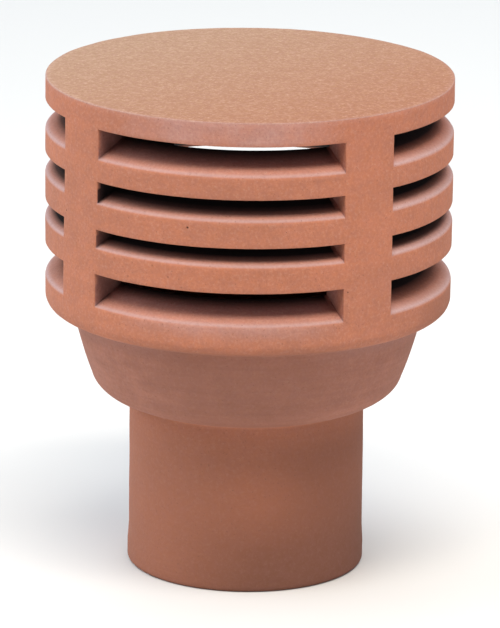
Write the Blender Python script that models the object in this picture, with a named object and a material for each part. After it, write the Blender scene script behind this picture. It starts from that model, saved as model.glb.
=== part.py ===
"""Clay chimney terminal.

One fired-clay body: a flat lid, a drum of louvred slots between four plain pillars,
a bowl under the drum and a plain spigot that is open below.
Sizes are in metres, +Z is up, and the origin is the centre of the spigot's lower end.
"""

import math

import bmesh
import bpy
from mathutils import Matrix, Vector

# Spigot: a straight pipe with an open lower end
SPIGOT_LENGTH = 0.1135
BORE_RADIUS = 0.0625
SPIGOT_WALL = 0.016
SPIGOT_EDGE = 0.003

# Bowl: a flared collar under the drum that turns in to the spigot
BOWL_HEIGHT = 0.0635
BOWL_WALL = 0.015
COLLAR_OVERHANG = 0.0185
COLLAR_TAPER = 0.0125
COLLAR_SHARE = 0.71
BOWL_DROP = 0.0022

# Drum: the wall that the slots go through
DRUM_RADIUS = 0.135
DRUM_WALL = 0.024
DRUM_SKIRT = 0.0215
DRUM_EDGE = 0.008
LID_THICKNESS = 0.016
LID_EDGE = 0.0015

# Slots and rings, from the top down, measured on the drum's outer face
TOP_SLOT = 0.020
TOP_RING = 0.015
UPPER_SLOT = 0.0145
MIDDLE_RING = 0.0175
LOWER_SLOT = 0.0125
BOTTOM_RING = 0.0175
BOTTOM_SLOT = 0.022
SILL_RISE = 0.0125

# Pillars and windows around the drum
WINDOWS = 4
PILLAR_WIDTH = 0.0385
PILLAR_SIDES = 3
WINDOW_SIDES = 16

# Steps of the curves in the outline
EDGE_STEPS = 3
COLLAR_STEPS = 5
BOWL_STEPS = 5
WELD = 0.00001

CLAY_COLOUR = (0.50, 0.235, 0.155, 1.0)
CLAY_ROUGHNESS = 0.9

SPIGOT_RADIUS = BORE_RADIUS + SPIGOT_WALL
CHAMBER_RADIUS = DRUM_RADIUS - DRUM_WALL
DRUM_BASE = SPIGOT_LENGTH + BOWL_HEIGHT
LOWEST_LIP = DRUM_BASE + DRUM_SKIRT


def slot_spans():
    """Return the lower and upper height of each slot on the drum's outer face, bottom first."""
    spans = []
    height = LOWEST_LIP
    slots = (BOTTOM_SLOT, LOWER_SLOT, UPPER_SLOT, TOP_SLOT)
    rings = (BOTTOM_RING, MIDDLE_RING, TOP_RING, LID_THICKNESS)
    for slot, ring in zip(slots, rings):
        spans.append((height, height + slot))
        height += slot + ring
    return spans


def ceiling_height():
    """Return the height of the lid's underside."""
    return slot_spans()[-1][1]


def arc(centre, radius, start, end, steps):
    """Return points on an arc in the outline's plane, angles in degrees from the outward direction."""
    points = []
    for step in range(steps + 1):
        angle = math.radians(start + (end - start) * step / steps)
        points.append((centre[0] + radius * math.cos(angle), centre[1] + radius * math.sin(angle)))
    return points


def curve(start, control, end, steps):
    """Return points on a quadratic curve, both ends included."""
    points = []
    for step in range(steps + 1):
        t = step / steps
        weights = ((1 - t) ** 2, 2 * t * (1 - t), t ** 2)
        points.append(
            tuple(
                weights[0] * a + weights[1] * b + weights[2] * c
                for a, b, c in zip(start, control, end)
            )
        )
    return points


def bowl_outline():
    """Return the bowl's outer side, from the drum's underside down to the spigot."""
    collar_radius = DRUM_RADIUS - COLLAR_OVERHANG
    waist_radius = collar_radius - COLLAR_TAPER
    waist_height = DRUM_BASE - COLLAR_SHARE * BOWL_HEIGHT
    turn_height = SPIGOT_LENGTH + BOWL_DROP
    turn_radius = SPIGOT_RADIUS + 3 * BOWL_DROP
    collar_control = (collar_radius - COLLAR_TAPER / 4, (DRUM_BASE + waist_height) / 2 + COLLAR_TAPER / 8)
    turn_control = (waist_radius - COLLAR_TAPER / 5, (waist_height + 2 * turn_height) / 3)
    collar = curve((collar_radius, DRUM_BASE), collar_control, (waist_radius, waist_height), COLLAR_STEPS)
    turn = curve((waist_radius, waist_height), turn_control, (turn_radius, turn_height), BOWL_STEPS)
    return collar + turn[1:] + [(SPIGOT_RADIUS, SPIGOT_LENGTH)]


def inset(points, wall):
    """Return the points moved by the wall's thickness to the inner side of a downward outline."""
    moved = []
    for index, point in enumerate(points):
        before = Vector(points[max(index - 1, 0)])
        after = Vector(points[min(index + 1, len(points) - 1)])
        along = (after - before).normalized()
        moved.append((point[0] + wall * along.y, point[1] - wall * along.x))
    return moved


def outer_outline():
    """Return the outside from the middle of the lid down to the spigot's lower end."""
    ceiling = ceiling_height()
    height = ceiling + LID_THICKNESS
    points = [(0.0, height)]
    points += arc((DRUM_RADIUS - LID_EDGE, height - LID_EDGE), LID_EDGE, 90, 0, EDGE_STEPS - 1)
    for low, high in reversed(slot_spans()):
        points += [(DRUM_RADIUS, high), (DRUM_RADIUS, low)]
    edge_centre = (DRUM_RADIUS - DRUM_EDGE, DRUM_BASE + DRUM_EDGE)
    points += arc(edge_centre, DRUM_EDGE, 0, -90, EDGE_STEPS)
    points += bowl_outline()
    end_centre = (SPIGOT_RADIUS - SPIGOT_EDGE, SPIGOT_EDGE)
    points += arc(end_centre, SPIGOT_EDGE, 0, -90, EDGE_STEPS)
    return points


def inner_outline():
    """Return the hollow from the spigot's lower end up to the middle of the lid's underside."""
    hollow = inset(bowl_outline()[1:-1], BOWL_WALL)
    bowl_floor = SPIGOT_LENGTH + BOWL_WALL
    points = [(BORE_RADIUS, 0.0), (BORE_RADIUS, bowl_floor)]
    points += reversed(hollow)
    points.append((CHAMBER_RADIUS, LOWEST_LIP))
    for low, high in slot_spans():
        points.append((CHAMBER_RADIUS, low + SILL_RISE))
        if high < ceiling_height():
            points.append((CHAMBER_RADIUS, high + SILL_RISE))
    points.append((CHAMBER_RADIUS, ceiling_height()))
    points.append((0.0, ceiling_height()))
    return points


def turn_outline(mesh, outline, pillar_angle, window_angle):
    """Turn the outline round the axis, one pillar and one window at a time."""
    points = [mesh.verts.new((radius, 0.0, height)) for radius, height in outline]
    lines = [mesh.edges.new(pair) for pair in zip(points, points[1:])]
    bmesh.ops.rotate(
        mesh,
        verts=points,
        cent=(0, 0, 0),
        matrix=Matrix.Rotation(math.pi / WINDOWS - pillar_angle / 2, 3, "Z"),
    )
    last = points + lines
    for _ in range(WINDOWS):
        for angle, sides in ((pillar_angle, PILLAR_SIDES), (window_angle, WINDOW_SIDES)):
            turned = bmesh.ops.spin(
                mesh, geom=last, cent=(0, 0, 0), axis=(0, 0, 1), angle=angle, steps=sides, use_duplicate=False
            )
            last = turned["geom_last"]
    bmesh.ops.remove_doubles(mesh, verts=mesh.verts, dist=WELD)


def slot_faces(mesh, radius, low, high, middle, half_angle):
    """Return the faces of one wall that fill one slot in one window."""
    found = []
    direction = Vector((math.cos(middle), math.sin(middle)))
    for face in mesh.faces:
        centre = face.calc_center_median()
        on_wall = all(abs(corner.co.xy.length - radius) < WELD for corner in face.verts)
        in_row = low < centre.z < high
        if on_wall and in_row and abs(centre.xy.angle_signed(direction)) < half_angle:
            found.append(face)
    return found


def open_edges(faces):
    """Return the edges round a patch of faces."""
    patch = set(faces)
    return [edge for face in faces for edge in face.edges if len(patch.intersection(edge.link_faces)) == 1]


def cut_slot(mesh, span, middle, half_angle):
    """Open one slot through the drum's wall, with a sill that rises towards the inside."""
    low, high = span
    inner_high = min(high + SILL_RISE, ceiling_height())
    outer = slot_faces(mesh, DRUM_RADIUS, low, high, middle, half_angle)
    inner = slot_faces(mesh, CHAMBER_RADIUS, low + SILL_RISE, inner_high, middle, half_angle)
    rims = open_edges(outer) + open_edges(inner)
    bmesh.ops.delete(mesh, geom=outer + inner, context="FACES")
    bmesh.ops.bridge_loops(mesh, edges=rims)


def clay_material():
    """Return the fired clay's plain material."""
    material = bpy.data.materials.new("fired_clay")
    material.use_nodes = True
    shader = material.node_tree.nodes["Principled BSDF"]
    shader.inputs["Base Color"].default_value = CLAY_COLOUR
    shader.inputs["Roughness"].default_value = CLAY_ROUGHNESS
    shader.inputs["Metallic"].default_value = 0.0
    return material


def chimney_terminal():
    """Make the fired-clay body as one object."""
    mesh = bmesh.new()
    pillar_angle = PILLAR_WIDTH / DRUM_RADIUS
    window_angle = 2 * math.pi / WINDOWS - pillar_angle
    turn_outline(mesh, outer_outline() + inner_outline(), pillar_angle, window_angle)
    for window in range(WINDOWS):
        middle = 2 * math.pi * window / WINDOWS
        for span in slot_spans():
            cut_slot(mesh, span, middle, window_angle / 2)
    bmesh.ops.recalc_face_normals(mesh, faces=mesh.faces)
    data = bpy.data.meshes.new("chimney_terminal")
    mesh.to_mesh(data)
    mesh.free()
    data.materials.append(clay_material())
    data.shade_smooth()
    data.set_sharp_from_angle(angle=math.radians(30))
    body = bpy.data.objects.new("chimney_terminal", data)
    bpy.context.collection.objects.link(body)
    return body


def main():
    """Clear the scene and build the terminal."""
    for old in list(bpy.data.objects):
        bpy.data.objects.remove(old, do_unlink=True)
    chimney_terminal()


main()
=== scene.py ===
"""Looks of a fired-clay chimney terminal.

Laid out as a Blender add-on and run as a script: the frame holds the solid at its real size,
and the operators below model the same body finely, finish it as fired clay and set the stage.
"""

import math

import bmesh
import bpy
import numpy as np
from bpy.props import FloatProperty, FloatVectorProperty, IntProperty, PointerProperty
from mathutils import Matrix, Vector, noise


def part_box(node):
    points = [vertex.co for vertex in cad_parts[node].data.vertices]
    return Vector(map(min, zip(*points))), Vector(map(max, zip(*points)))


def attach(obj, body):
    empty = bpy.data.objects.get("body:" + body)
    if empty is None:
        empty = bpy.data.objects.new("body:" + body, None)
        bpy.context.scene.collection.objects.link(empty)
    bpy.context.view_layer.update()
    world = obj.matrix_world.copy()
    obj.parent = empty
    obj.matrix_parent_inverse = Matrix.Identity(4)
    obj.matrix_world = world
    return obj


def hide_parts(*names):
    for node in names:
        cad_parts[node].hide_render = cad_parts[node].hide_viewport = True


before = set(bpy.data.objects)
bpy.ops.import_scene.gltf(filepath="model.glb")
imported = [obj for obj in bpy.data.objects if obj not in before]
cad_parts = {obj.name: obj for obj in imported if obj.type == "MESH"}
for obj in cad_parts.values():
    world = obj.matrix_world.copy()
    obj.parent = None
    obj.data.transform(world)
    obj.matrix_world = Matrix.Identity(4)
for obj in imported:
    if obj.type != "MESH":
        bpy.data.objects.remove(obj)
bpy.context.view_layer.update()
NODE = "chimney_terminal"
BODY_LOW, BODY_HIGH = (Vector(corner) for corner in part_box(NODE))
DRUM_RADIUS = (BODY_HIGH.x - BODY_LOW.x) / 2
HEIGHT = BODY_HIGH.z - BODY_LOW.z

bl_info = {
    "name": "Clay chimney terminal",
    "version": (1, 0, 0),
    "blender": (4, 5, 0),
    "location": "3D View > Sidebar > Terminal",
    "description": "Models and finishes a fired-clay chimney terminal on its solid",
    "category": "Object",
}

# The photograph's height and focal length in pixels, and the camera's sensor
FRAME_HEIGHT = 628
FOCAL_PIXELS = 5600
SENSOR_MM = 36.0

WINDOWS = 4
SHARP_ANGLE = 45
SMALL = 1e-6
HAIR = 0.0005
FAR_MM = 20.0
MILLIMETRES = 1000

# Steps of the curves in the outline, and where the fillet under the drum joins the bowl's curve
LID_EDGE_STEPS = 4
SKIRT_EDGE_STEPS = 8
FILLET_STEPS = 6
FILLET_JOIN = 2
COLLAR_STEPS = 16
TURN_STEPS = 14
END_STEPS = 5

# How much of the lip's rounding each kind of edge gets, and in how many steps
EDGE_ROUNDING = {"sill": 1.0, "jamb": 0.35, "head": 0.15}
INNER_ROUNDING = 0.6
CORNER_ROUNDING = 0.8
ROUNDING_SEGMENTS = 3

# Small pits in the drum's face: degrees round from the front, height and radius in metres
PITS = (
    (-7.3, 0.2628, 0.0009),
    (-12.9, 0.2285, 0.0006),
    (-8.7, 0.2387, 0.0011),
    (19.8, 0.2612, 0.0005),
    (38.0, 0.2180, 0.0007),
    (-52.0, 0.2560, 0.0008),
    (112.0, 0.2450, 0.0010),
    (171.0, 0.2290, 0.0009),
    (-128.0, 0.2620, 0.0010),
)

# Where the painted shade in each slot starts and where it is full, bottom slot first, as depth over height:
# front window, then the others
LIT_FRONT = ((0.50, 1.05), (0.18, 0.84), (0.18, 0.84), (0.15, 1.20))
LIT_OTHERS = ((0.42, 0.80), (0.34, 0.62), (0.34, 0.62), (0.30, 0.72))

# How dark the painted shade on the left side of each slot in the front window is, bottom slot first, and how
# it darkens inwards
LEFT_SIDES = (0.26, 0.52, 0.88, 0.30)
LEFT_DEEPER = 0.25
LEFT_DEPTHS = (0.0, 0.4)

# Azimuths round the part, in degrees: the camera's right side, and the side of the spigot that gets the most
# painted shade
RIGHT_SIDE = 99.5
SHADED_SIDE = 75.0

# How squarely the front window faces the front, and how far the middle of the picture reaches to each side
FRONT_FACING = (0.6, 0.8)
MIDDLE_REACH = (0.25, 0.75)

# Fades near an edge, how far a lip's painted highlight reaches under it, and a slot's margin, in metres
WINDOW_EDGE = (-0.0012, 0.0002)
JAMB_CORNER = (0.0004, 0.0030)
LIP_FRONT = (0.0, 0.0011)
LIP_TOP = (0.0006, 0.0016)
LID_RIM = (0.0004, 0.0016)
UNDER_LIP = -0.0014
FRONT_LIP = 0.0005
SLOT_MARGIN = 0.0008

# Fades of the marks over the depth of a slot, as shares of the wall, and how strong the painted highlight on
# the nose is
FACE_DEPTH = 0.03
HALF_DEPTH = 0.5
NOSE_DEPTHS = (0.0, 0.16)
NOSE = 0.72
SILL_DEPTHS = (0.15, 0.45)
SIDE_NOSE = 0.7
SLOT_SHADE_DEPTHS = (0.15, 0.55)
SEAM_DEPTHS = (0.10, 0.30)

# What a slot's right and left side get: light that lifts the painted shade, plum painted shade and
# millimetres away from a seam
JAMB_LIGHT = (1.0, 0.15)
JAMB_SLOT_SHADE = (0.35, 1.0)
SEAM_OFFSETS = (1.4, 1.2)

# How much deeper the left of a side window looks in its painted shade, and how much plum painted shade the
# side windows get beside the front one
LEFT_REACH = 0.08
SIDE_SLOT_SHADE = 0.3

# How dark the spigot's upper and lower part are, darker clay with painted shade, over how squarely they face
# the shaded side and over height
UPPER_DARKNESS = (0.425, 0.725)
UPPER_TOWARD_SHADE = (0.45, 1.0)
LOWER_DARKNESS = (0.53, 1.0)
LOWER_TOWARD_SHADE = (-0.5, 0.68)
SPIGOT_TOP = (0.088, 0.112)
SPIGOT_FOOT = (0.075, 0.010)
TOP_PAINTED_LIGHT = 0.32

# Bands of the bowl, the skirt and the lid: where each fades, in metres from its edge, and how strong it is
TURN_CLEARANCE = 0.004
TURN_FADE = 0.003
BASE_FADE = 0.002
# Painted shade in the middle, facing front and back: the darker clay reaches higher under the drum, and the
# bowl keeps a smaller share of its ashen tone, most near its turn
MIDDLE_SPREAD = 0.004
NEAR_TURN = (0.022, 0.004)
BOWL_MIDDLE_SHADE = (0.26, 0.10)
# Painted light on the bowl's shoulder at its sides, where the drum shades it: how high it reaches, how much
# darker clay it takes off and how pale it lays
SHOULDER_HEIGHT = 0.016
SHOULDER_LIGHT_LIFT = 0.6
SHOULDER_PALE_LIGHT = 0.25
# Painted shade on the skirt's right end: where it starts under the lowest lip, how far round it reaches and
# how strong it is
SKIRT_TOP = (-0.001, -0.004)
SKIRT_SHADED = (0.74, 0.94)
SKIRT_PAINTED_SHADE = 0.42
PALE_UNDER_LIP_BAND = (0.012, 0.003)
PALE_UNDER_LIP_SHARE = 0.8
# Painted highlight along the lid's upper edge
LID_RIM_HIGHLIGHT = 0.42
LID_SIDE = (-0.001, 0.002)
SAND_EDGE = (-0.0012, -0.0003)

# Where the leaning pillar stands and how far round from it the clay follows, in radians
LEANING_PILLAR = -0.75 * math.pi
LEAN_TURNS = (0.15, 1.0)

# Scales of the waver's noises, their shares, and where it fades out at the foot and on the lid, in metres
BROAD_WAVER = 13.0
SMALL_WAVER = 62.0
SMALL_SHIFT = (7.0, 3.0, 1.0)
PRESSED, BROAD_PRESS, SMALL_PRESS = 0.5, 0.55, 0.35
WAVER_FOOT = 0.004
LID_TURN = (-0.004, -0.0002)

# Noises of the clay over its own space: scale, detail, roughness and stretch along each axis
NOISES = {
    "clouds": (9.0, 3.0),
    "mottle": (75.0, 4.0, 0.6),
    "bloom": (240.0, 3.0, 0.6),
    "turning": (15.0, 3.0, 0.6, (1.0, 1.0, 7.0)),
    "streaks": (12.0, 2.0, 0.5, (1.0, 1.0, 28.0)),
    "grain": (520.0, 2.0, 0.65),
    "speck": (900.0, 0.0, 0.5),
    "drift": (230.0, 3.0, 0.7),
    "rub": (40.0, 3.0, 0.6),
    "skin": (160.0, 3.0, 0.55),
}

# Where a noise starts to show as a mark, and where it shows fully
SPREADS = {
    "clouds": (0.38, 0.64),
    "mottle": (0.35, 0.70),
    "bloom": (0.36, 0.64),
    "turning": (0.36, 0.66),
    "streaks": (0.42, 0.62),
}
DARK_GRAIN = (0.52, 0.28)
LIGHT_GRAIN = (0.52, 0.74)
BRIGHT_SPECK = (0.74, 0.80)
DARK_SPECK = (0.24, 0.19)
SEAM_MM = (1.9, 0.7)

# How a mark's share changes over the value of a place: from, to, and the share at each
CHANGES = {
    "streaks on bowl": (0.0, 1.0, 0.0, 0.16),
    "mottle on spigot": (0.0, 0.5, 0.18, 0.08),
    "mottle on bowl": (0.0, 1.0, 0.0, 0.14),
    "turning on spigot": (0.0, 0.6, 0.10, 0.03),
    "bloom on spigot": (0.0, 0.6, 0.18, 0.09),
    "dark drift": (0.50, 0.32, 0.0, 0.20),
    "light drift": (0.50, 0.68, 0.0, 0.12),
    "rub": (0.3, 0.6, 0.5, 1.0),
    "grain on spigot": (0.0, 0.5, 0.16, 0.07),
    "grain on sand": (0.0, 1.0, 0.0, 0.06),
    "light grain on dull": (0.0, 1.0, 1.0, 0.55),
    "bright specks on sand": (0.0, 1.0, 0.0, 0.28),
    "seam in mottle": (0.0, 1.0, 0.35, 1.0),
}
CLOUD_SHARE = 0.6
SLOT_SHADE_SHARE = 0.7
PALE_FRONT_SHARE = 0.5
LIP_HIGHLIGHT_SHARE = 0.95
DARK_SPECK_SHARE = 0.5
# Share of painted shade laid into the pits, and how far in it is full
PIT_SHADE_SHARE = 0.8
PIT_BOTTOM = 0.3

# The lid's side with painted light and the drum's paler front: azimuth in degrees, and spread along it in
# metres
LIT_SAND_SIDE = -125.0
LIT_SAND_SPREAD = (-0.12, 0.12)
PALE_FRONT_SIDE = 4.0
PALE_FRONT_SPREAD = (0.112, 0.134)

# Relief of the clay's skin: distance in metres and strength
BUMPS = {"skin": (0.0006, 0.35), "turning": (0.0006, 0.25), "grain": (0.0004, 0.5), "pits": (0.0008, 1.0)}
SHEEN = 0.25


def length(name, description, default):
    """Return a length that a user may change."""
    return FloatProperty(name=name, description=description, default=default, unit="LENGTH", precision=4)


def number(name, description, default):
    """Return a plain number that a user may change."""
    return FloatProperty(name=name, description=description, default=default)


def colour(name, description, default):
    """Return a colour that a user may change."""
    return FloatVectorProperty(
        name=name, description=description, default=(*default, 1.0), size=4, min=0.0, max=1.0, subtype="COLOR"
    )


class BodySizes(bpy.types.PropertyGroup):
    """Sizes of the clay body."""

    drum_radius: length("Drum radius", "Radius of the drum and the lid", DRUM_RADIUS)
    height: length("Height", "From the spigot's end to the lid's top", HEIGHT)
    spigot_length: length("Spigot length", "Straight pipe under the bowl", 0.1135)
    bore_radius: length("Bore radius", "Radius of the open bore", 0.0625)
    spigot_wall: length("Spigot wall", "Thickness of the pipe's wall", 0.016)
    spigot_edge: length("Spigot edge", "Rounding of the pipe's outer lower edge", 0.003)
    spigot_swell: length("Spigot swell", "How far the pipe swells towards its end", 0.0007)
    swell_height: length("Swell height", "Where the pipe starts to swell", 0.024)
    bowl_height: length("Bowl height", "From the spigot up to the drum's underside", 0.0635)
    bowl_wall: length("Bowl wall", "Thickness of the bowl's wall", 0.015)
    bowl_drop: length("Bowl drop", "Fall of the bowl's underside", 0.0022)
    collar_overhang: length("Overhang", "How far the drum stands out over the bowl", 0.0185)
    collar_fillet: length("Fillet", "Hollow curve under the drum", 0.0050)
    collar_taper: length("Collar taper", "How far the bowl narrows down to its waist", 0.0125)
    drum_wall: length("Drum wall", "Depth of the slots", 0.024)
    drum_skirt: length("Skirt", "From the lowest lip to the drum's underside", 0.0215)
    drum_edge: length("Skirt edge", "Rounding of the skirt's lower edge", 0.008)
    lid_thickness: length("Lid thickness", "Thickness of the lid", 0.016)
    lid_edge: length("Lid edge", "Rounding of the lid's upper edge", 0.0012)
    top_slot: length("Top slot", "Height of the slot under the lid", 0.020)
    top_ring: length("Top ring", "Height of the uppermost ring", 0.015)
    upper_slot: length("Upper slot", "Height of the second slot", 0.0145)
    middle_ring: length("Middle ring", "Height of the middle ring", 0.0175)
    lower_slot: length("Lower slot", "Height of the third slot", 0.0125)
    bottom_ring: length("Bottom ring", "Height of the lowest ring", 0.0175)
    bottom_slot: length("Bottom slot", "Height of the slot over the skirt", 0.022)
    sill_rise: length("Sill rise", "How far each sill climbs on its way in", 0.0125)
    pillar_width: length("Pillar width", "Width of a pillar on the drum's face", 0.0385)
    lip_round: length("Lip rounding", "Rounding of the outer edge of each sill", 0.0016)
    waver: length("Waver", "How far the faces stray from true", 0.0005)
    pillar_lean: length("Pillar lean", "How far the front left pillar's foot is set over", 0.0030)
    spacing: length("Mesh spacing", "Largest step of the mesh along the outline", 0.0036)
    collar_share: number("Collar share", "Share of the bowl's height that its collar takes", 0.71)
    pillar_sides: IntProperty(name="Pillar sides", description="Steps across a pillar", default=10)
    window_sides: IntProperty(name="Window sides", description="Steps across a window", default=50)


class ClayFinish(bpy.types.PropertyGroup):
    """Colours of the fired clay."""

    clay: colour("Clay", "Main colour of the drum", (0.475, 0.177, 0.102))
    warm: colour("Warm clay", "Where the fire caught the drum", (0.550, 0.191, 0.101))
    # Darker clay of the spigot and bowl, also laid as painted shade on the spigot's shaded side and foot,
    # under the drum's middle and on the skirt's right end
    dull: colour("Dull clay", "Spigot, fired darker", (0.195, 0.080, 0.051))
    # The bowl's ashen tone, held back in its middle where painted shade leaves the darker clay
    bowl: colour("Ashen clay", "Bowl under the drum", (0.410, 0.174, 0.119))
    # Painted highlight on the sills' noses and the lid's rim, partly paler clay; painted light on the bowl's
    # shoulder; the paler band on the drum's front
    pale: colour("Pale clay", "Rubbed lips and sills", (0.450, 0.300, 0.296))
    sand: colour("Sand", "Sanded face of the lid", (0.252, 0.105, 0.051))
    # Painted light: the lid's sand lighter towards one side
    lit_sand: colour("Dry sand", "Paler side of the lid's sanded face", (0.281, 0.174, 0.110))
    dark: colour("Dark grain", "Burnt grains in the clay", (0.200, 0.085, 0.055))
    light: colour("Light grain", "Sand grains in the clay", (0.620, 0.440, 0.340))
    # Painted shade deep in the slots, up into the chamber and in the pits; also the colour of the bottom
    # slots' seams
    hollow: colour("Hollow", "Depth of the slots and the chamber", (0.006, 0.003, 0.004))
    # Plum painted shade inside the slots and on their sides, most on the left
    plum: colour("Plum", "Unrubbed sides of the slots", (0.420, 0.187, 0.170))
    bloom: colour("Bloom", "Pinkish bloom of the fired face", (0.300, 0.150, 0.150))
    roughness: FloatProperty(name="Roughness", description="How matt the clay is", default=0.88, min=0, max=1)


class StageSettings(bpy.types.PropertyGroup):
    """Camera, light and floor."""

    azimuth: number("Azimuth", "Camera's turn round the part", 9.5)
    elevation: number("Elevation", "Camera's height, in degrees", 16.0)
    roll: number("Roll", "Camera's roll, in degrees", 0.7)
    distance: length("Distance", "From the camera to the part's middle", 3.729)
    aim_height: length("Aim height", "Height of the point in the middle of the picture", 0.1689)
    aim_side: length("Aim side", "How far the picture's middle lies to the right", 0.0016)
    floor_size: length("Floor size", "Side of the floor", 12.0)
    floor_colour: colour("Floor", "Colour of the floor", (0.65, 0.65, 0.65))
    key: number("Key light", "Power of the softbox above", 97.0)
    side: number("Side light", "Power of the softbox on the right", 20.0)
    surround: number("Surround", "Brightness of the white screens", 1.0)


# The studio's white screens: azimuth from the camera, elevation, tightness, brightness and tint
SCREENS = (
    (-90, 42, 8, 2.66, (1.0, 1.08, 1.16)),
    (180, 42, 8, 2.60, (1.0, 1.08, 1.12)),
    (-112, 8, 4, 1.38, (1.0, 1.05, 1.10)),
    (60, 8, 4, 0.92, (1.0, 1.00, 1.10)),
)

# The softboxes: turn from the camera and elevation in degrees, width and height in metres, and tint
SOFTBOXES = {
    "key": (10.0, 65.0, 2.0, 0.8, (1.0, 0.93, 0.82)),
    "side": (96.0, 58.0, 1.4, 0.8, (1.0, 0.97, 0.95)),
}
SOFTBOX_DISTANCE = 3.0
FLOOR_ROUGHNESS = 0.95
CAMERA_REACH = 50.0


def view_direction(azimuth, elevation):
    """Return the direction from the part towards a place round it."""
    turn = math.radians(azimuth)
    rise = math.radians(elevation)
    return Vector((math.sin(turn) * math.cos(rise), -math.cos(turn) * math.cos(rise), math.sin(rise)))


def arc(centre, radius, start, end, steps):
    """Return points on an arc in the outline's plane, angles in degrees from the outward direction."""
    angles = [math.radians(start + (end - start) * step / steps) for step in range(steps + 1)]
    return [(centre[0] + radius * math.cos(a), centre[1] + radius * math.sin(a)) for a in angles]


def curve(start, control, end, steps):
    """Return points on a quadratic curve, both ends included."""
    points = []
    for step in range(steps + 1):
        t = step / steps
        a, b, c = (1 - t) ** 2, 2 * t * (1 - t), t ** 2
        points.append(tuple(a * p + b * q + c * r for p, q, r in zip(start, control, end)))
    return points


class Outline:
    """The section of the body from the lid's middle round to the middle of its underside."""

    def __init__(self, sizes):
        self.sizes = sizes
        self.points = []
        self.outer_rows = []
        self.inner_rows = []
        self.corner_rows = []  # rounded all the way round
        self.spigot_radius = sizes.bore_radius + sizes.spigot_wall
        self.chamber_radius = sizes.drum_radius - sizes.drum_wall
        self.drum_base = sizes.spigot_length + sizes.bowl_height
        self.spans = self.slot_spans()
        self.ceiling = self.spans[-1][1]
        self.slot_steps = math.ceil(sizes.bottom_slot / sizes.spacing)
        self.trace_outside()
        self.trace_inside()

    def slot_spans(self):
        """Return the lower and upper height of each slot on the outer face, bottom first."""
        sizes = self.sizes
        spans = []
        height = self.drum_base + sizes.drum_skirt
        slots = (sizes.bottom_slot, sizes.lower_slot, sizes.upper_slot, sizes.top_slot)
        rings = (sizes.bottom_ring, sizes.middle_ring, sizes.top_ring, sizes.lid_thickness)
        for slot, ring in zip(slots, rings):
            spans.append((height, height + slot))
            height += slot + ring
        return spans

    def run_to(self, point, steps=None):
        """Add a straight stretch that ends at the point, in even steps."""
        start = self.points[-1]
        if steps is None:
            steps = max(1, math.ceil(math.dist(start, point) / self.sizes.spacing))
        for step in range(1, steps + 1):
            share = step / steps
            self.points.append(tuple(a + (b - a) * share for a, b in zip(start, point)))

    def follow(self, points):
        """Add a curve's points after a straight stretch to its first one."""
        self.run_to(points[0])
        self.points.extend(points[1:])

    def bowl_side(self):
        """Return the bowl's outer side, from the drum's underside down to the spigot."""
        sizes = self.sizes
        collar_radius = sizes.drum_radius - sizes.collar_overhang
        waist_radius = collar_radius - sizes.collar_taper
        waist_height = self.drum_base - sizes.collar_share * sizes.bowl_height
        turn_height = sizes.spigot_length + sizes.bowl_drop
        turn_radius = self.spigot_radius + 3 * sizes.bowl_drop
        collar_middle = (self.drum_base + waist_height) / 2 + sizes.collar_taper / 8
        collar_control = (collar_radius - sizes.collar_taper / 4, collar_middle)
        turn_control = (waist_radius - sizes.collar_taper / 5, (waist_height + 2 * turn_height) / 3)
        waist = (waist_radius, waist_height)
        collar = curve((collar_radius, self.drum_base), collar_control, waist, COLLAR_STEPS)
        turn = curve(waist, turn_control, (turn_radius, turn_height), TURN_STEPS)
        return collar + turn[1:]

    def trace_outside(self):
        """Trace the outside from the lid's middle down to the spigot's end."""
        sizes = self.sizes
        radius = sizes.drum_radius
        self.points.append((0.0, sizes.height))
        edge = sizes.lid_edge
        self.follow(arc((radius - edge, sizes.height - edge), edge, 90, 0, LID_EDGE_STEPS))
        for low, high in reversed(self.spans):
            self.run_to((radius, high))
            top_row = len(self.points) - 1
            self.run_to((radius, low), self.slot_steps)
            self.outer_rows.append((len(self.points) - 1, top_row))
        self.outer_rows.reverse()
        edge = sizes.drum_edge
        self.follow(arc((radius - edge, self.drum_base + edge), edge, 0, -90, SKIRT_EDGE_STEPS))
        side = self.bowl_side()
        fillet = (side[0][0] + sizes.collar_fillet, side[0][1])
        self.run_to(fillet)
        self.points.extend(curve(fillet, side[0], side[FILLET_JOIN], FILLET_STEPS)[1:])
        self.points.extend(side[FILLET_JOIN + 1:])
        self.run_to((self.spigot_radius, sizes.spigot_length))
        self.corner_rows.append(len(self.points) - 1)
        edge = sizes.spigot_edge
        swollen = self.spigot_radius + sizes.spigot_swell
        self.run_to((self.spigot_radius, sizes.swell_height))
        self.run_to((swollen, sizes.swell_height / 2))
        self.follow(arc((swollen - edge, edge), edge, 0, -90, END_STEPS))

    def trace_inside(self):
        """Trace the hollow from the spigot's end up to the middle of the ceiling."""
        sizes = self.sizes
        side = self.bowl_side()
        hollow = []
        for index in range(len(side) - 1, 0, -1):
            along = Vector(side[min(index + 1, len(side) - 1)]) - Vector(side[index - 1])
            along.normalize()
            radius, height = side[index]
            hollow.append((radius + sizes.bowl_wall * along.y, height - sizes.bowl_wall * along.x))
        self.run_to((sizes.bore_radius, 0.0))
        self.corner_rows.append(len(self.points) - 1)
        self.run_to((sizes.bore_radius, sizes.spigot_length + sizes.bowl_wall))
        self.corner_rows.append(len(self.points) - 1)
        self.follow(hollow)
        self.run_to((self.chamber_radius, self.spans[0][0]))
        for low, high in self.spans:
            self.run_to((self.chamber_radius, low + sizes.sill_rise))
            low_row = len(self.points) - 1
            inner_high = min(high + sizes.sill_rise, self.ceiling)
            self.run_to((self.chamber_radius, inner_high), self.slot_steps)
            self.inner_rows.append((low_row, len(self.points) - 1))
        self.run_to((0.0, self.ceiling))


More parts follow.
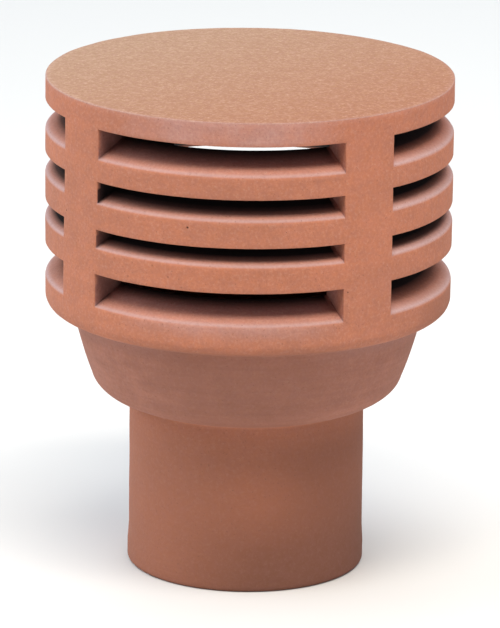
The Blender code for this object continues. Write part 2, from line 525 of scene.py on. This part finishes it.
class ClayMesh:
    """The clay body as one closed mesh, turned from its outline, with the slots opened."""

    def __init__(self, sizes):
        self.sizes = sizes
        self.outline = Outline(sizes)
        self.pillar_angle = sizes.pillar_width / sizes.drum_radius
        self.window_angle = 2 * math.pi / WINDOWS - self.pillar_angle
        self.angles, self.window_starts = self.stations()
        self.verts = []
        self.faces = []
        self.round_edges = {}
        self.turn()
        for row in self.outline.corner_rows:
            for station in range(len(self.angles)):
                edge = (self.lattice(row, station), self.lattice(row, station + 1))
                self.round_edges[edge] = CORNER_ROUNDING
        for window_start in self.window_starts:
            for row in range(len(self.outline.spans)):
                self.open_slot(window_start, row)

    def stations(self):
        """Return the angles of the lattice and the station where each window starts, after its pillar."""
        sizes = self.sizes
        angles = []
        starts = []
        angle = math.pi / WINDOWS - self.pillar_angle / 2
        stretches = ((self.pillar_angle, sizes.pillar_sides), (self.window_angle, sizes.window_sides))
        for _ in range(WINDOWS):
            for width, sides in stretches:
                starts.append(len(angles))
                angles += [angle + width * step / sides for step in range(sides)]
                angle += width
        return angles, starts[1::2]

    def lattice(self, row, station):
        """Return the vertex of the turned lattice at a row and a station."""
        last = len(self.outline.points) - 1
        if row == 0:
            return 0
        if row == last:
            return 1
        return 2 + (row - 1) * len(self.angles) + station % len(self.angles)

    def turn(self):
        """Turn the outline and leave out the faces that fill the slots."""
        points = self.outline.points
        self.verts = [(0.0, 0.0, points[0][1]), (0.0, 0.0, points[-1][1])]
        for radius, height in points[1:-1]:
            self.verts += [(radius * math.cos(a), radius * math.sin(a), height) for a in self.angles]
        filled = set()
        for rows in self.outline.outer_rows + self.outline.inner_rows:
            filled.update(range(min(rows), max(rows)))
        in_window = set()
        for start in self.window_starts:
            in_window.update(range(start, start + self.sizes.window_sides))
        for row in range(len(points) - 1):
            for station in range(len(self.angles)):
                if row in filled and station in in_window:
                    continue
                corners = [
                    self.lattice(row, station),
                    self.lattice(row + 1, station),
                    self.lattice(row + 1, station + 1),
                    self.lattice(row, station + 1),
                ]
                self.faces.append(tuple(dict.fromkeys(corners)))

    def slot_rim(self, window_start, row):
        """Return the outer and inner vertex at each point round a slot, and which of its sides it is on."""
        steps = self.outline.slot_steps
        outer_low = self.outline.outer_rows[row][0]
        inner_low = self.outline.inner_rows[row][0]
        window_end = window_start + self.sizes.window_sides
        around = [(0, station, "sill") for station in range(window_start, window_end)]
        around += [(step, window_end, "jamb") for step in range(steps)]
        around += [(steps, station, "head") for station in range(window_end, window_start, -1)]
        around += [(step, window_start, "jamb") for step in range(steps, 0, -1)]
        rim = []
        for step, station, side in around:
            outer = self.lattice(outer_low - step, station)
            inner = self.lattice(inner_low + step, station)
            rim.append((outer, inner, station, side))
        return rim

    def open_slot(self, window_start, row):
        """Line one slot with its sill, jambs and head."""
        rim = self.slot_rim(window_start, row)
        layers = math.ceil(self.sizes.drum_wall / self.sizes.spacing)
        columns = []
        for outer, inner, station, _ in rim:
            column = [outer]
            angle = self.angles[station % len(self.angles)]
            for layer in range(1, layers):
                share = layer / layers
                radius = self.sizes.drum_radius - self.sizes.drum_wall * share
                height = self.verts[outer][2] * (1 - share) + self.verts[inner][2] * share
                column.append(len(self.verts))
                self.verts.append((radius * math.cos(angle), radius * math.sin(angle), height))
            column.append(inner)
            columns.append(column)
        for index, column in enumerate(columns):
            following = columns[(index + 1) % len(columns)]
            for layer in range(layers):
                self.faces.append((column[layer], following[layer], following[layer + 1], column[layer + 1]))
            side = rim[index][3]
            self.round_edges[(column[0], following[0])] = EDGE_ROUNDING[side]
            if not (row == len(self.outline.spans) - 1 and side == "head"):
                self.round_edges[(column[-1], following[-1])] = INNER_ROUNDING

    def build(self, name):
        """Return the mesh as a new object with its sharp edges weighted for rounding."""
        data = bpy.data.meshes.new(name)
        data.from_pydata(self.verts, [], self.faces)
        mesh = bmesh.new()
        mesh.from_mesh(data)
        mesh.verts.ensure_lookup_table()
        bmesh.ops.recalc_face_normals(mesh, faces=mesh.faces)
        weights = mesh.edges.layers.float.new("bevel_weight_edge")
        for (first, second), weight in self.round_edges.items():
            mesh.edges.get((mesh.verts[first], mesh.verts[second]))[weights] = weight
        unused = [vert for vert in mesh.verts if not vert.link_faces]
        bmesh.ops.delete(mesh, geom=unused, context="VERTS")
        mesh.to_mesh(data)
        mesh.free()
        piece = bpy.data.objects.new(name, data)
        bpy.context.scene.collection.objects.link(piece)
        return piece


def round_edges(piece, width):
    """Round the weighted edges of the piece."""
    bevel = piece.modifiers.new("round", "BEVEL")
    bevel.limit_method = "WEIGHT"
    bevel.width = width
    bevel.segments = ROUNDING_SEGMENTS
    bevel.use_clamp_overlap = False
    evaluated = piece.evaluated_get(bpy.context.evaluated_depsgraph_get())
    rounded = bpy.data.meshes.new_from_object(evaluated)
    piece.modifiers.clear()
    old = piece.data
    piece.data = rounded
    bpy.data.meshes.remove(old)
    rounded.shade_smooth()
    rounded.set_sharp_from_angle(angle=math.radians(SHARP_ANGLE))


def read_vertices(data):
    """Return the mesh's vertices as rows of x, y and z."""
    co = np.empty(len(data.vertices) * 3)
    data.vertices.foreach_get("co", co)
    return co.reshape(-1, 3)


def smooth_step(start, end, values):
    """Return 0 before the start, 1 past the end and a smooth change between; the end may be the lower one."""
    share = np.clip((values - start) / (end - start), 0.0, 1.0)
    return share * share * (3 - 2 * share)


def climb(ends, steps, values):
    """Return a smooth change from the first end to the second, between two steps of the values."""
    first, second = ends
    return first + (second - first) * smooth_step(*steps, values)


class Places:
    """Where each point of the body lies, so that the finish can tell lips, seams, sand and hollow apart."""

    def __init__(self, data, outline):
        sizes = outline.sizes
        self.sizes = sizes
        self.outline = outline
        self.base = outline.drum_base
        self.lowest_lip = outline.spans[0][0]
        self.co = read_vertices(data)
        self.height = self.co[:, 2]
        self.radius = np.hypot(self.co[:, 0], self.co[:, 1])
        self.depth = np.clip((sizes.drum_radius - self.radius) / sizes.drum_wall, 0.0, 1.0)
        self.in_wall = (self.depth > FACE_DEPTH) & (self.radius > outline.chamber_radius - HAIR)
        self.on_right = self.co[:, 0] > 0
        self.facing_front = smooth_step(*FRONT_FACING, self.facing(0.0))
        self.from_jamb = self.way_from_jamb()
        self.on_jamb = 1 - smooth_step(*JAMB_CORNER, self.from_jamb)
        self.rightwards = self.facing(RIGHT_SIDE)
        self.middle = 1 - smooth_step(*MIDDLE_REACH, np.abs(self.rightwards))

    def facing(self, azimuth):
        """Return how squarely each point faces an azimuth, from -1 to 1."""
        way = view_direction(azimuth, 0)
        return (self.co[:, 0] * way.x + self.co[:, 1] * way.y) / np.maximum(self.radius, SMALL)

    def way_from_jamb(self):
        """Return how far each point is from the nearest jamb, positive inside the windows."""
        turn = np.arctan2(self.co[:, 1], self.co[:, 0])
        quarter = 2 * math.pi / WINDOWS
        off_middle = np.abs((turn + quarter / 2) % quarter - quarter / 2)
        half_window = (quarter - self.sizes.pillar_width / self.sizes.drum_radius) / 2
        return (half_window - off_middle) * self.radius

    def by_side(self, values):
        """Return the first value for points on the right and the second for those on the left."""
        return np.where(self.on_right, *values)

    def above(self, level, fade):
        """Return 0 under a height and 1 above it, faded over a distance to both sides."""
        return smooth_step(level - fade, level + fade, self.height)

    def lip_highlight(self, above):
        """Return the painted highlight on each point of a sill, partly paler clay, brightest on its nose."""
        under_lip = UNDER_LIP + FRONT_LIP * self.facing_front
        on_sill = smooth_step(*LIP_FRONT, above - under_lip) * (1 - smooth_step(*LIP_TOP, above))
        narrow = self.by_side((SIDE_NOSE + (1 - SIDE_NOSE) * self.facing_front, 1.0))
        nose = NOSE * (1 - smooth_step(*NOSE_DEPTHS, self.depth * narrow))
        nose += (1 - NOSE) * (1 - smooth_step(*SILL_DEPTHS, self.depth))
        return on_sill * nose

    def slot_darkness(self, reach, lit_front, lit_others, left):
        """Return the painted shade of each point of a slot, from its reach inwards over the slot's height."""
        front = smooth_step(*lit_front, reach) * (1 - self.by_side(JAMB_LIGHT) * self.on_jamb)
        side = smooth_step(*lit_others, reach + LEFT_REACH * ~self.on_right)
        left_jamb = left + LEFT_DEEPER * smooth_step(*LEFT_DEPTHS, self.depth)
        front = np.maximum(front, left_jamb * self.on_jamb * ~self.on_right)
        return np.minimum(side + (front - side) * self.facing_front, 1.0)

    def slots(self):
        """Return the lips' painted highlight, the painted shade of the hollow and the millimetres from the
        bottom slots' seams.
        """
        sizes = self.sizes
        lip = np.zeros(len(self.co))
        hollow = np.zeros(len(self.co))
        from_seam = np.full(len(self.co), FAR_MM)
        slots = zip(self.outline.spans, LIT_FRONT, LIT_OTHERS, LEFT_SIDES)
        for (low, high), lit_front, lit_others, left in slots:
            above = self.height - (low + self.depth * sizes.sill_rise)
            lip = np.maximum(lip, self.lip_highlight(above))
            in_height = (above > -SLOT_MARGIN) & (above < high - low + SLOT_MARGIN)
            in_slot = self.in_wall & in_height & (self.from_jamb > -SLOT_MARGIN)
            reach = self.depth * sizes.drum_wall / (high - low)
            hollow = np.maximum(hollow, in_slot * self.slot_darkness(reach, lit_front, lit_others, left))
            if low == self.lowest_lip:
                away = (np.abs(self.from_jamb) + np.abs(above)) * MILLIMETRES
                on_right, on_left = SEAM_OFFSETS
                away += self.by_side((on_right, on_left * (1 - smooth_step(*SEAM_DEPTHS, self.depth))))
                from_seam = np.where(in_slot, away, from_seam)
        lip *= smooth_step(*WINDOW_EDGE, self.from_jamb)
        # The chamber gets painted shade, full from the lowest lip up
        in_chamber = self.radius < self.outline.chamber_radius + HAIR
        in_chamber &= self.height < self.outline.ceiling + 2 * HAIR
        hollow = np.where(in_chamber, smooth_step(self.base, self.lowest_lip, self.height), hollow)
        return lip, hollow, from_seam

    def unrubbed(self):
        """Return the plum painted shade on each side and inner part of the slots."""
        inwards = smooth_step(*SLOT_SHADE_DEPTHS, self.depth)
        plum = np.maximum(self.on_jamb * self.by_side(JAMB_SLOT_SHADE), inwards)
        plum *= self.in_wall * (self.height > self.lowest_lip - HAIR)
        return plum * (SIDE_SLOT_SHADE + (1 - SIDE_SLOT_SHADE) * self.facing_front)

    def lid_rim(self):
        """Return the painted highlight along the lid's upper edge."""
        away = np.hypot(self.sizes.drum_radius - self.radius, self.sizes.height - self.height)
        return LID_RIM_HIGHLIGHT * (1 - smooth_step(*LID_RIM, away))

    def spigot_darkness(self):
        """Return how dark the spigot is: darker clay, with painted shade on one side and low down, and
        painted light at its top.
        """
        # fired is how squarely each point faces the side that gets the painted shade
        fired = self.facing(SHADED_SIDE)
        upper = climb(UPPER_DARKNESS, UPPER_TOWARD_SHADE, fired)
        upper *= 1 - TOP_PAINTED_LIGHT * smooth_step(*SPIGOT_TOP, self.height)
        lower = climb(LOWER_DARKNESS, LOWER_TOWARD_SHADE, fired)
        return upper + (lower - upper) * smooth_step(*SPIGOT_FOOT, self.height)

    def tones_and_shade(self):
        """Return how dark each point is, in darker clay and painted shade, the skirt's right end included;
        how ashen the bowl is, with painted shade in its middle; and the painted light on the bowl's shoulder.
        """
        turn_height = self.sizes.spigot_length + TURN_CLEARANCE
        above_turn = self.above(turn_height, TURN_FADE)
        top = self.base + BASE_FADE + MIDDLE_SPREAD * self.middle
        dull = 1 - smooth_step(self.base - BASE_FADE, top, self.height)
        dull *= self.spigot_darkness() * (1 - above_turn) + above_turn
        everywhere, at_turn = BOWL_MIDDLE_SHADE
        middle_shade = everywhere + at_turn * smooth_step(*NEAR_TURN, self.height - turn_height)
        bowl = above_turn * (1 - self.above(self.base, BASE_FADE)) * (1 - self.middle * middle_shade)
        on_skirt = smooth_step(*SKIRT_TOP, self.height - self.lowest_lip) * (self.depth < HALF_DEPTH)
        dull = np.maximum(dull, SKIRT_PAINTED_SHADE * smooth_step(*SKIRT_SHADED, self.rightwards) * on_skirt)
        shoulder = smooth_step(self.base - SHOULDER_HEIGHT, self.base - BASE_FADE, self.height)
        shoulder *= (1 - self.middle) * (self.height < self.base + 2 * HAIR)
        after_shoulder_light = 1 - SHOULDER_LIGHT_LIFT * shoulder
        return dull * after_shoulder_light, bowl * after_shoulder_light, SHOULDER_PALE_LIGHT * shoulder

    def pale_band(self, sand):
        """Return the paler bands: the lid's side and the face just under the lowest lip."""
        on_side = smooth_step(*LID_SIDE, self.height - self.outline.ceiling) * (1 - sand)
        below_lip = self.lowest_lip - self.height
        return np.maximum(on_side, PALE_UNDER_LIP_SHARE * smooth_step(*PALE_UNDER_LIP_BAND, below_lip) * (below_lip > -HAIR))

    def all(self):
        """Return every place by the name that the finish reads it by."""
        lip, hollow, from_seam = self.slots()
        dull, bowl, shoulder = self.tones_and_shade()
        sand = smooth_step(*SAND_EDGE, self.height - self.sizes.height)
        return {
            # lip carries the painted highlight of the sills and the lid's rim, partly paler clay, and the
            # painted light on the bowl's shoulder
            "lip": np.maximum(np.maximum(lip, self.lid_rim()), shoulder),
            "sand": sand,
            # hollow is painted shade
            "hollow": hollow,
            "from_seam": from_seam,
            "unrubbed": self.unrubbed(),
            "dull": dull,
            "bowl": bowl,
            "pale_band": self.pale_band(sand),
        }


def mark_places(piece, outline):
    """Store on each point of the piece where it lies."""
    for name, values in Places(piece.data, outline).all().items():
        layer = piece.data.attributes.new(name, "FLOAT", "POINT")
        layer.data.foreach_set("value", values.astype(np.float32))


def lean_pillar(piece, outline):
    """Set the front left pillar's foot over to the left, with the clay on both sides of it."""
    sizes = outline.sizes
    co = read_vertices(piece.data)
    radius = np.hypot(co[:, 0], co[:, 1])
    turn = np.arctan2(co[:, 1], co[:, 0])
    near = 1 - smooth_step(*LEAN_TURNS, np.abs(turn - LEANING_PILLAR))
    lowest = outline.spans[0][0]
    down = smooth_step(outline.ceiling, lowest, co[:, 2]) * smooth_step(outline.drum_base, lowest, co[:, 2])
    turn -= sizes.pillar_lean / sizes.drum_radius * near * down
    co[:, 0] = radius * np.cos(turn)
    co[:, 1] = radius * np.sin(turn)
    piece.data.vertices.foreach_set("co", co.ravel())
    piece.data.update()


def waver(piece, sizes):
    """Press the outer faces in a little, unevenly, as hand-finished clay is."""
    data = piece.data
    co = read_vertices(data)
    normals = np.empty(len(co) * 3, dtype=np.float32)
    data.vertex_normals.foreach_get("vector", normals)
    normals = normals.reshape(-1, 3)
    broad = np.array([noise.noise(Vector(p) * BROAD_WAVER) for p in co])
    small = np.array([noise.noise(Vector(p) * SMALL_WAVER + Vector(SMALL_SHIFT)) for p in co])
    press = sizes.waver * (PRESSED + BROAD_PRESS * broad + SMALL_PRESS * small)
    standing = smooth_step(0.0, WAVER_FOOT, co[:, 2])
    radius = np.hypot(co[:, 0], co[:, 1])
    outwards = np.zeros_like(normals)
    outwards[:, :2] = co[:, :2] / np.maximum(radius, SMALL)[:, None]
    on_top = smooth_step(*LID_TURN, co[:, 2] - sizes.height)[:, None]
    outwards += (normals - outwards) * on_top
    moved = co - outwards * (np.clip(press, 0.0, None) * standing)[:, None]
    radius = np.hypot(moved[:, 0], moved[:, 1])
    shrink = np.minimum(1.0, (sizes.drum_radius - SMALL) / np.maximum(radius, SMALL))
    moved[:, :2] *= shrink[:, None]
    moved[:, 2] = np.clip(moved[:, 2], 0.0, sizes.height)
    data.vertices.foreach_set("co", moved.ravel())
    data.update()


class Nodes:
    """A short way to lay out a node tree."""

    def __init__(self, owner, space="Object"):
        owner.use_nodes = True
        self.tree = owner.node_tree
        coordinates = self.tree.nodes.new("ShaderNodeTexCoord")
        self.place = coordinates.outputs[space]

    def link(self, source, socket):
        """Join an output to a socket, or set the socket to a plain value."""
        if isinstance(source, bpy.types.NodeSocket):
            self.tree.links.new(source, socket)
        else:
            socket.default_value = source

    def noise(self, scale, detail=2.0, roughness=0.5, stretch=None):
        """Return a noise over the object's own space."""
        texture = self.tree.nodes.new("ShaderNodeTexNoise")
        for name, number in (("Scale", scale), ("Detail", detail), ("Roughness", roughness)):
            texture.inputs[name].default_value = number
        place = self.place
        if stretch:
            mapping = self.tree.nodes.new("ShaderNodeMapping")
            mapping.inputs["Scale"].default_value = stretch
            self.tree.links.new(place, mapping.inputs["Vector"])
            place = mapping.outputs["Vector"]
        self.tree.links.new(place, texture.inputs["Vector"])
        return texture.outputs["Fac"]

    def between(self, value, low, high, start=0.0, end=1.0):
        """Return the value spread from low..high to start..end, and held there."""
        ramp = self.tree.nodes.new("ShaderNodeMapRange")
        self.link(value, ramp.inputs["Value"])
        for name, number in (("From Min", low), ("From Max", high), ("To Min", start), ("To Max", end)):
            ramp.inputs[name].default_value = number
        return ramp.outputs["Result"]

    def maths(self, operation, first, second):
        """Return the result of one sum on two values."""
        node = self.tree.nodes.new("ShaderNodeMath")
        node.operation = operation
        self.link(first, node.inputs[0])
        self.link(second, node.inputs[1])
        return node.outputs["Value"]

    def times(self, first, second):
        """Return the product of two values."""
        return self.maths("MULTIPLY", first, second)

    def vectors(self, operation, first, second, socket=1):
        """Return the result of one sum on two vectors, or on a vector and a value."""
        node = self.tree.nodes.new("ShaderNodeVectorMath")
        node.operation = operation
        self.link(first, node.inputs[0])
        self.link(second, node.inputs[socket])
        return node.outputs["Value" if operation in ("DISTANCE", "DOT_PRODUCT") else "Vector"]

    def along(self, direction):
        """Return how far each point lies along a direction."""
        return self.vectors("DOT_PRODUCT", self.place, direction)

    def mix(self, share, first, second):
        """Return a mix of two colours."""
        node = self.tree.nodes.new("ShaderNodeMix")
        node.data_type = "RGBA"
        self.link(share, node.inputs["Factor"])
        self.link(first, node.inputs["A"])
        self.link(second, node.inputs["B"])
        return next(output for output in node.outputs if output.type == "RGBA")

    def attribute(self, name):
        """Return a value that the mesh stores at its points."""
        node = self.tree.nodes.new("ShaderNodeAttribute")
        node.attribute_name = name
        return node.outputs["Fac"]

    def bump(self, height, distance, strength, below=None):
        """Return a normal that follows a height."""
        node = self.tree.nodes.new("ShaderNodeBump")
        node.inputs["Distance"].default_value = distance
        node.inputs["Strength"].default_value = strength
        self.link(height, node.inputs["Height"])
        if below is not None:
            self.link(below, node.inputs["Normal"])
        return node.outputs["Normal"]


class ClaySurface(Nodes):
    """The matt terracotta: sanded on the lid, with painted highlights on its lips and painted shade in its
    hollow.
    """

    def __init__(self, material, finish, drum_radius):
        super().__init__(material)
        self.finish = finish
        self.sand = self.attribute("sand")
        self.dull = self.attribute("dull")
        self.bowl = self.attribute("bowl")
        self.on_spigot = self.times(self.dull, self.maths("SUBTRACT", 1.0, self.bowl))
        self.marks = {name: self.between(self.noise(*NOISES[name]), *SPREADS[name]) for name in SPREADS}
        self.grain = self.noise(*NOISES["grain"])
        self.pits = self.pitted(drum_radius)
        self.colour = tuple(finish.clay)
        self.fire()
        self.weather()
        self.sand_lid()
        self.rub()
        self.scatter_grain()
        self.darken()
        shader = self.tree.nodes["Principled BSDF"]
        self.link(self.colour, shader.inputs["Base Color"])
        self.link(self.skin(), shader.inputs["Normal"])
        self.link(finish.roughness, shader.inputs["Roughness"])
        self.link(SHEEN, shader.inputs["Specular IOR Level"])

    def lay(self, name, share, strength=None):
        """Mix one of the finish's colours into the surface so far, by a share times a strength."""
        if strength is not None:
            share = self.times(share, strength)
        self.colour = self.mix(share, self.colour, tuple(getattr(self.finish, name)))

    def change(self, value, name):
        """Return the share that a mark has where a place has this value."""
        return self.between(value, *CHANGES[name])

    def pitted(self, drum_radius):
        """Return 1 in the middle of each pit and 0 away from the pits."""
        total = None
        for turn, height, radius in PITS:
            direction = view_direction(turn, 0)
            place = (direction.x * drum_radius, direction.y * drum_radius, height)
            away = self.vectors("DISTANCE", self.place, place)
            pit = self.between(away, radius, radius * PIT_BOTTOM)
            total = pit if total is None else self.maths("MAXIMUM", total, pit)
        return total

    def fire(self):
        """Lay the broad colours that the kiln left."""
        self.lay("warm", self.marks["clouds"], CLOUD_SHARE)
        self.lay("dull", self.dull)
        self.lay("bowl", self.bowl)
        self.lay("plum", self.attribute("unrubbed"), SLOT_SHADE_SHARE)

    def weather(self):
        """Lay the streaks of the bowl, the mottle and the marks of the wheel."""
        self.lay("dark", self.marks["streaks"], self.change(self.bowl, "streaks on bowl"))
        share = self.change(self.on_spigot, "mottle on spigot")
        share = self.maths("ADD", share, self.change(self.bowl, "mottle on bowl"))
        self.lay("dark", self.marks["mottle"], share)
        self.lay("dark", self.marks["turning"], self.change(self.on_spigot, "turning on spigot"))

    def sand_lid(self):
        """Lay the lid's sand, with painted light towards one side, and drifted, and the bloom over all."""
        body = self.colour
        self.colour = tuple(self.finish.sand)
        self.lay("lit_sand", self.between(self.along(view_direction(LIT_SAND_SIDE, 0)), *LIT_SAND_SPREAD))
        drift = self.noise(*NOISES["drift"])
        self.lay("dark", self.change(drift, "dark drift"))
        self.lay("light", self.change(drift, "light drift"))
        self.colour = self.mix(self.sand, body, self.colour)
        self.lay("bloom", self.marks["bloom"], self.change(self.on_spigot, "bloom on spigot"))

    def rub(self):
        """Lay the paler band on the front of the drum, low on the lid's side and over the skirt, and the
        painted highlight on the lips.
        """
        turned = self.between(self.along(view_direction(PALE_FRONT_SIDE, 0)), *PALE_FRONT_SPREAD)
        paler_front = self.times(turned, self.attribute("pale_band"))
        paler_front = self.times(paler_front, self.change(self.noise(*NOISES["rub"]), "rub"))
        self.lay("pale", paler_front, PALE_FRONT_SHARE)
        self.lay("pale", self.attribute("lip"), LIP_HIGHLIGHT_SHARE)

    def scatter_grain(self):
        """Scatter dark and light grains through the clay, with brighter specks in the lid's sand."""
        share = self.change(self.on_spigot, "grain on spigot")
        share = self.maths("ADD", share, self.change(self.sand, "grain on sand"))
        light_share = self.times(share, self.change(self.dull, "light grain on dull"))
        speck = self.noise(*NOISES["speck"])
        self.lay("dark", self.between(self.grain, *DARK_GRAIN), share)
        self.lay("light", self.between(self.grain, *LIGHT_GRAIN), light_share)
        self.lay("light", self.between(speck, *BRIGHT_SPECK), self.change(self.sand, "bright specks on sand"))
        self.lay("dark", self.between(speck, *DARK_SPECK), DARK_SPECK_SHARE)

    def darken(self):
        """Paint shade into the hollow and the pits, and darken the bottom slots' seams."""
        seam = self.between(self.attribute("from_seam"), *SEAM_MM)
        seam = self.times(seam, self.change(self.marks["mottle"], "seam in mottle"))
        self.lay("hollow", self.maths("MAXIMUM", self.attribute("hollow"), seam))
        self.lay("hollow", self.pits, PIT_SHADE_SHARE)

    def skin(self):
        """Return the normal of the clay's skin, with its turning, its grain and its pits."""
        skin = self.bump(self.noise(*NOISES["skin"]), *BUMPS["skin"])
        skin = self.bump(self.marks["turning"], *BUMPS["turning"], skin)
        skin = self.bump(self.grain, *BUMPS["grain"], skin)
        return self.bump(self.maths("SUBTRACT", 1.0, self.pits), *BUMPS["pits"], skin)


class TERMINAL_OT_make_body(bpy.types.Operator):
    """Model the clay body finely and finish it as fired clay"""

    bl_idname = "terminal.make_body"
    bl_label = "Make clay body"

    def execute(self, context):
        """Build, round, waver and finish the body."""
        sizes = context.scene.terminal_sizes
        clay = ClayMesh(sizes)
        piece = clay.build("clay_body")
        round_edges(piece, sizes.lip_round)
        mark_places(piece, clay.outline)
        lean_pillar(piece, clay.outline)
        waver(piece, sizes)
        material = bpy.data.materials.new("fired_clay")
        ClaySurface(material, context.scene.terminal_finish, sizes.drum_radius)
        piece.data.materials.clear()
        piece.data.materials.append(material)
        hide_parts(NODE)
        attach(piece, "root")
        return {"FINISHED"}


def floor_material(shade):
    """Return the floor's plain matt material."""
    material = bpy.data.materials.new("floor")
    material.use_nodes = True
    shader = material.node_tree.nodes["Principled BSDF"]
    shader.inputs["Base Color"].default_value = shade
    shader.inputs["Roughness"].default_value = FLOOR_ROUGHNESS
    return material


def add_softbox(name, power, stage):
    """Add a soft light that faces the part's middle."""
    turn, elevation, width, height, tint = SOFTBOXES[name]
    data = bpy.data.lights.new(name, "AREA")
    data.shape = "RECTANGLE"
    data.size = width
    data.size_y = height
    data.energy = power
    data.color = tint
    light = bpy.data.objects.new(name, data)
    bpy.context.scene.collection.objects.link(light)
    direction = view_direction(stage.azimuth + turn, elevation)
    light.location = Vector((0.0, 0.0, stage.aim_height)) + direction * SOFTBOX_DISTANCE
    light.rotation_euler = direction.to_track_quat("Z", "Y").to_euler()


class TERMINAL_OT_make_stage(bpy.types.Operator):
    """Set the pale floor, the soft lights and the camera"""

    bl_idname = "terminal.make_stage"
    bl_label = "Make stage"

    def execute(self, context):
        """Build the floor, the surround, the lights and the camera."""
        stage = context.scene.terminal_stage
        self.make_floor(context, stage)
        self.make_screens(context, stage)
        add_softbox("key", stage.key, stage)
        add_softbox("side", stage.side, stage)
        self.make_camera(context, stage)
        context.scene.view_settings.view_transform = "Standard"
        return {"FINISHED"}

    def make_floor(self, context, stage):
        """Lay the pale floor under the part."""
        mesh = bmesh.new()
        bmesh.ops.create_grid(mesh, x_segments=4, y_segments=4, size=stage.floor_size / 2)
        data = bpy.data.meshes.new("floor")
        mesh.to_mesh(data)
        mesh.free()
        data.materials.append(floor_material(stage.floor_colour))
        floor = bpy.data.objects.new("floor", data)
        context.scene.collection.objects.link(floor)

    def make_screens(self, context, stage):
        """Surround the part with the glow of the studio's white screens."""
        world = bpy.data.worlds.new("screens")
        nodes = Nodes(world, "Generated")
        light = None
        for azimuth, elevation, tightness, brightness, tint in SCREENS:
            facing = nodes.along(view_direction(stage.azimuth + azimuth, elevation))
            glow = nodes.maths("POWER", nodes.maths("MAXIMUM", facing, 0.0), tightness)
            shade = [brightness * stage.surround * part for part in tint]
            screen = nodes.vectors("SCALE", shade, glow, "Scale")
            light = screen if light is None else nodes.vectors("ADD", light, screen)
        nodes.link(light, nodes.tree.nodes["Background"].inputs["Color"])
        context.scene.world = world

    def make_camera(self, context, stage):
        """Place the camera at the photograph's viewing angle."""
        direction = view_direction(stage.azimuth, stage.elevation)
        turn = math.radians(stage.azimuth)
        right = Vector((math.cos(turn), math.sin(turn), 0.0))
        aim = Vector((0.0, 0.0, stage.aim_height)) + right * stage.aim_side
        data = bpy.data.cameras.new("camera")
        data.sensor_width = SENSOR_MM
        data.lens = FOCAL_PIXELS / FRAME_HEIGHT * SENSOR_MM
        data.clip_end = CAMERA_REACH
        camera = bpy.data.objects.new("camera", data)
        camera.location = aim + direction * stage.distance
        roll = Matrix.Rotation(math.radians(stage.roll), 4, "Z")
        camera.rotation_euler = (direction.to_track_quat("Z", "Y").to_matrix().to_4x4() @ roll).to_euler()
        context.scene.collection.objects.link(camera)
        context.scene.camera = camera


class TERMINAL_PT_panel(bpy.types.Panel):
    """Lists the steps that make the terminal"""

    bl_idname = "TERMINAL_PT_panel"
    bl_label = "Clay chimney terminal"
    bl_space_type = "VIEW_3D"
    bl_region_type = "UI"
    bl_category = "Terminal"

    def draw(self, context):
        """Draw the buttons and the settings."""
        layout = self.layout
        layout.operator("terminal.make_body")
        layout.operator("terminal.make_stage")
        for name in GROUPS:
            group = getattr(context.scene, name)
            box = layout.box()
            for setting in group.__annotations__:
                box.prop(group, setting)


GROUPS = {"terminal_sizes": BodySizes, "terminal_finish": ClayFinish, "terminal_stage": StageSettings}
CLASSES = (*GROUPS.values(), TERMINAL_OT_make_body, TERMINAL_OT_make_stage, TERMINAL_PT_panel)


def register():
    """Register the classes and hang the settings on the scene."""
    for entry in CLASSES:
        bpy.utils.register_class(entry)
    for name, group in GROUPS.items():
        setattr(bpy.types.Scene, name, PointerProperty(type=group))


def unregister():
    """Take the settings and the classes away."""
    for name in GROUPS:
        delattr(bpy.types.Scene, name)
    for entry in reversed(CLASSES):
        bpy.utils.unregister_class(entry)


def main():
    """Make the body and the stage."""
    register()
    bpy.ops.terminal.make_body()
    bpy.ops.terminal.make_stage()


if __name__ == "__main__":
    main()
